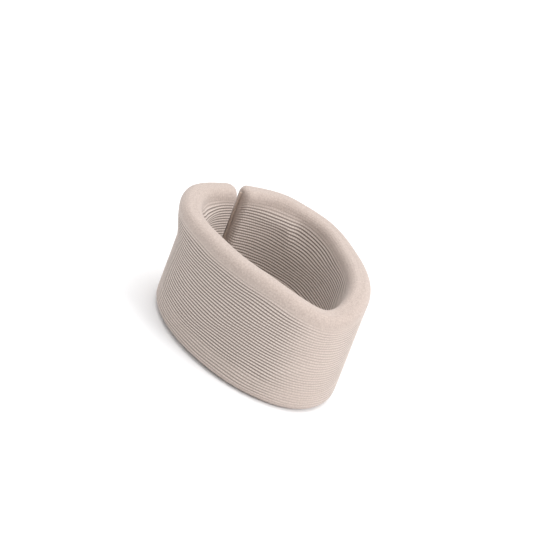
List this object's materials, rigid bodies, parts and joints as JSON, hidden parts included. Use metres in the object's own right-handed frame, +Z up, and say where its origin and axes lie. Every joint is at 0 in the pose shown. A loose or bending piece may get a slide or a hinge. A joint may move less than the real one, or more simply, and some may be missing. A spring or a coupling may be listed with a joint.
{
  "type": "cervical collar",
  "caption": "Soft cervical collar: foam band with a chin recess in a ribbed knit cover, closed at the back by a hook-and-loop strap.",
  "frame": {"origin": "middle of the box's footprint, on the bottom rim's plane", "axes": "+Z up the neck, -Y to the chin recess at the front, +X to the wearer's left"},
  "size_m": [0.1522, 0.2023, 0.095],
  "materials": {
    "foam": "open-cell foam",
    "ribbed_knit": "ribbed stockinette knit",
    "overlock_thread": "overlocked thread",
    "loop_pile": "brushed loop pile",
    "sewing_thread": "polyester thread",
    "strap_webbing": "woven tape",
    "hook_tape": "moulded nylon hooks on woven tape"
  },
  "bodies": {
    "band_front": {"foam_band_front": "foam", "knit_cover_front": "ribbed_knit", "left_end_seam": "overlock_thread", "loop_strip": "loop_pile", "loop_strip_stitching": "sewing_thread"},
    "right_side": {"foam_band_right_side": "foam", "knit_cover_right_side": "ribbed_knit"},
    "right_back": {"foam_band_right_back": "foam", "knit_cover_right_back": "ribbed_knit", "right_end_seam": "overlock_thread", "strap_anchor": "strap_webbing", "strap_anchor_stitching": "sewing_thread"},
    "closure_strap": {"strap_flap": "strap_webbing", "hook_strip": "hook_tape", "hook_strip_stitching": "sewing_thread"}
  },
  "joints": [
    {"name": "right_side_flex", "type": "hinge", "parent": "band_front", "child": "right_side", "pos_m": [-0.0637, -0.05038, 0], "axis": [0, 0, 1], "range_deg": [0, 45], "stiffness_Nm_per_rad": 0.05},
    {"name": "right_back_flex", "type": "hinge", "parent": "right_side", "child": "right_back", "pos_m": [-0.07214, 0.0415, 0], "axis": [0, 0, 1], "range_deg": [0, 45], "stiffness_Nm_per_rad": 0.05},
    {"name": "strap_swing", "type": "hinge", "parent": "right_back", "child": "closure_strap", "pos_m": [-0.01157, 0.10066, 0], "axis": [0, 0, 1], "range_deg": [0, 120], "stiffness_Nm_per_rad": 0.004}
  ]
}
